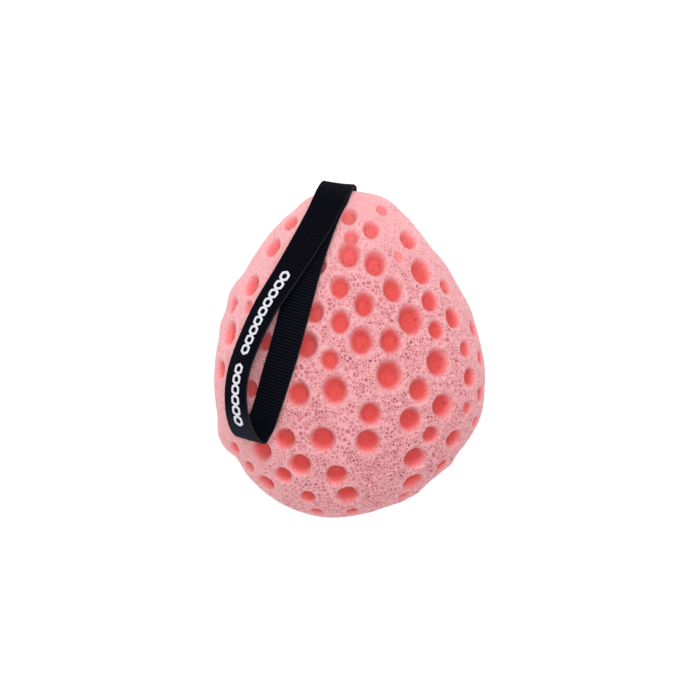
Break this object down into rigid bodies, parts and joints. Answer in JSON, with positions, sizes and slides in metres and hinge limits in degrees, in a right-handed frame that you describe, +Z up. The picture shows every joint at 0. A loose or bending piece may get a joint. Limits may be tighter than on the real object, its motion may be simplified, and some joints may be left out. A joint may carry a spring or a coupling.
{
  "type": "foam bath sponge",
  "caption": "Egg-shaped bath sponge of soft pink foam, dimpled all over like honeycomb, with a hanging loop of black ribbed ribbon let into its narrow end.",
  "frame": {"origin": "on the surface it lies on, under the middle of its box", "axes": "+Y towards the narrow end and the ribbon's root, +Z up out of the front face that the ribbon lies on"},
  "size_m": [0.1111, 0.1383, 0.0636],
  "materials": {
    "foam": "matt open-cell polyurethane foam, pale pink skin and coral red inside the dimples",
    "ribbon": "black polyester grosgrain with fine cross ribs and a plain white printed pattern"
  },
  "bodies": {
    "root": {"sponge_body": "foam", "ribbon_loop": "ribbon"}
  },
  "joints": []
}
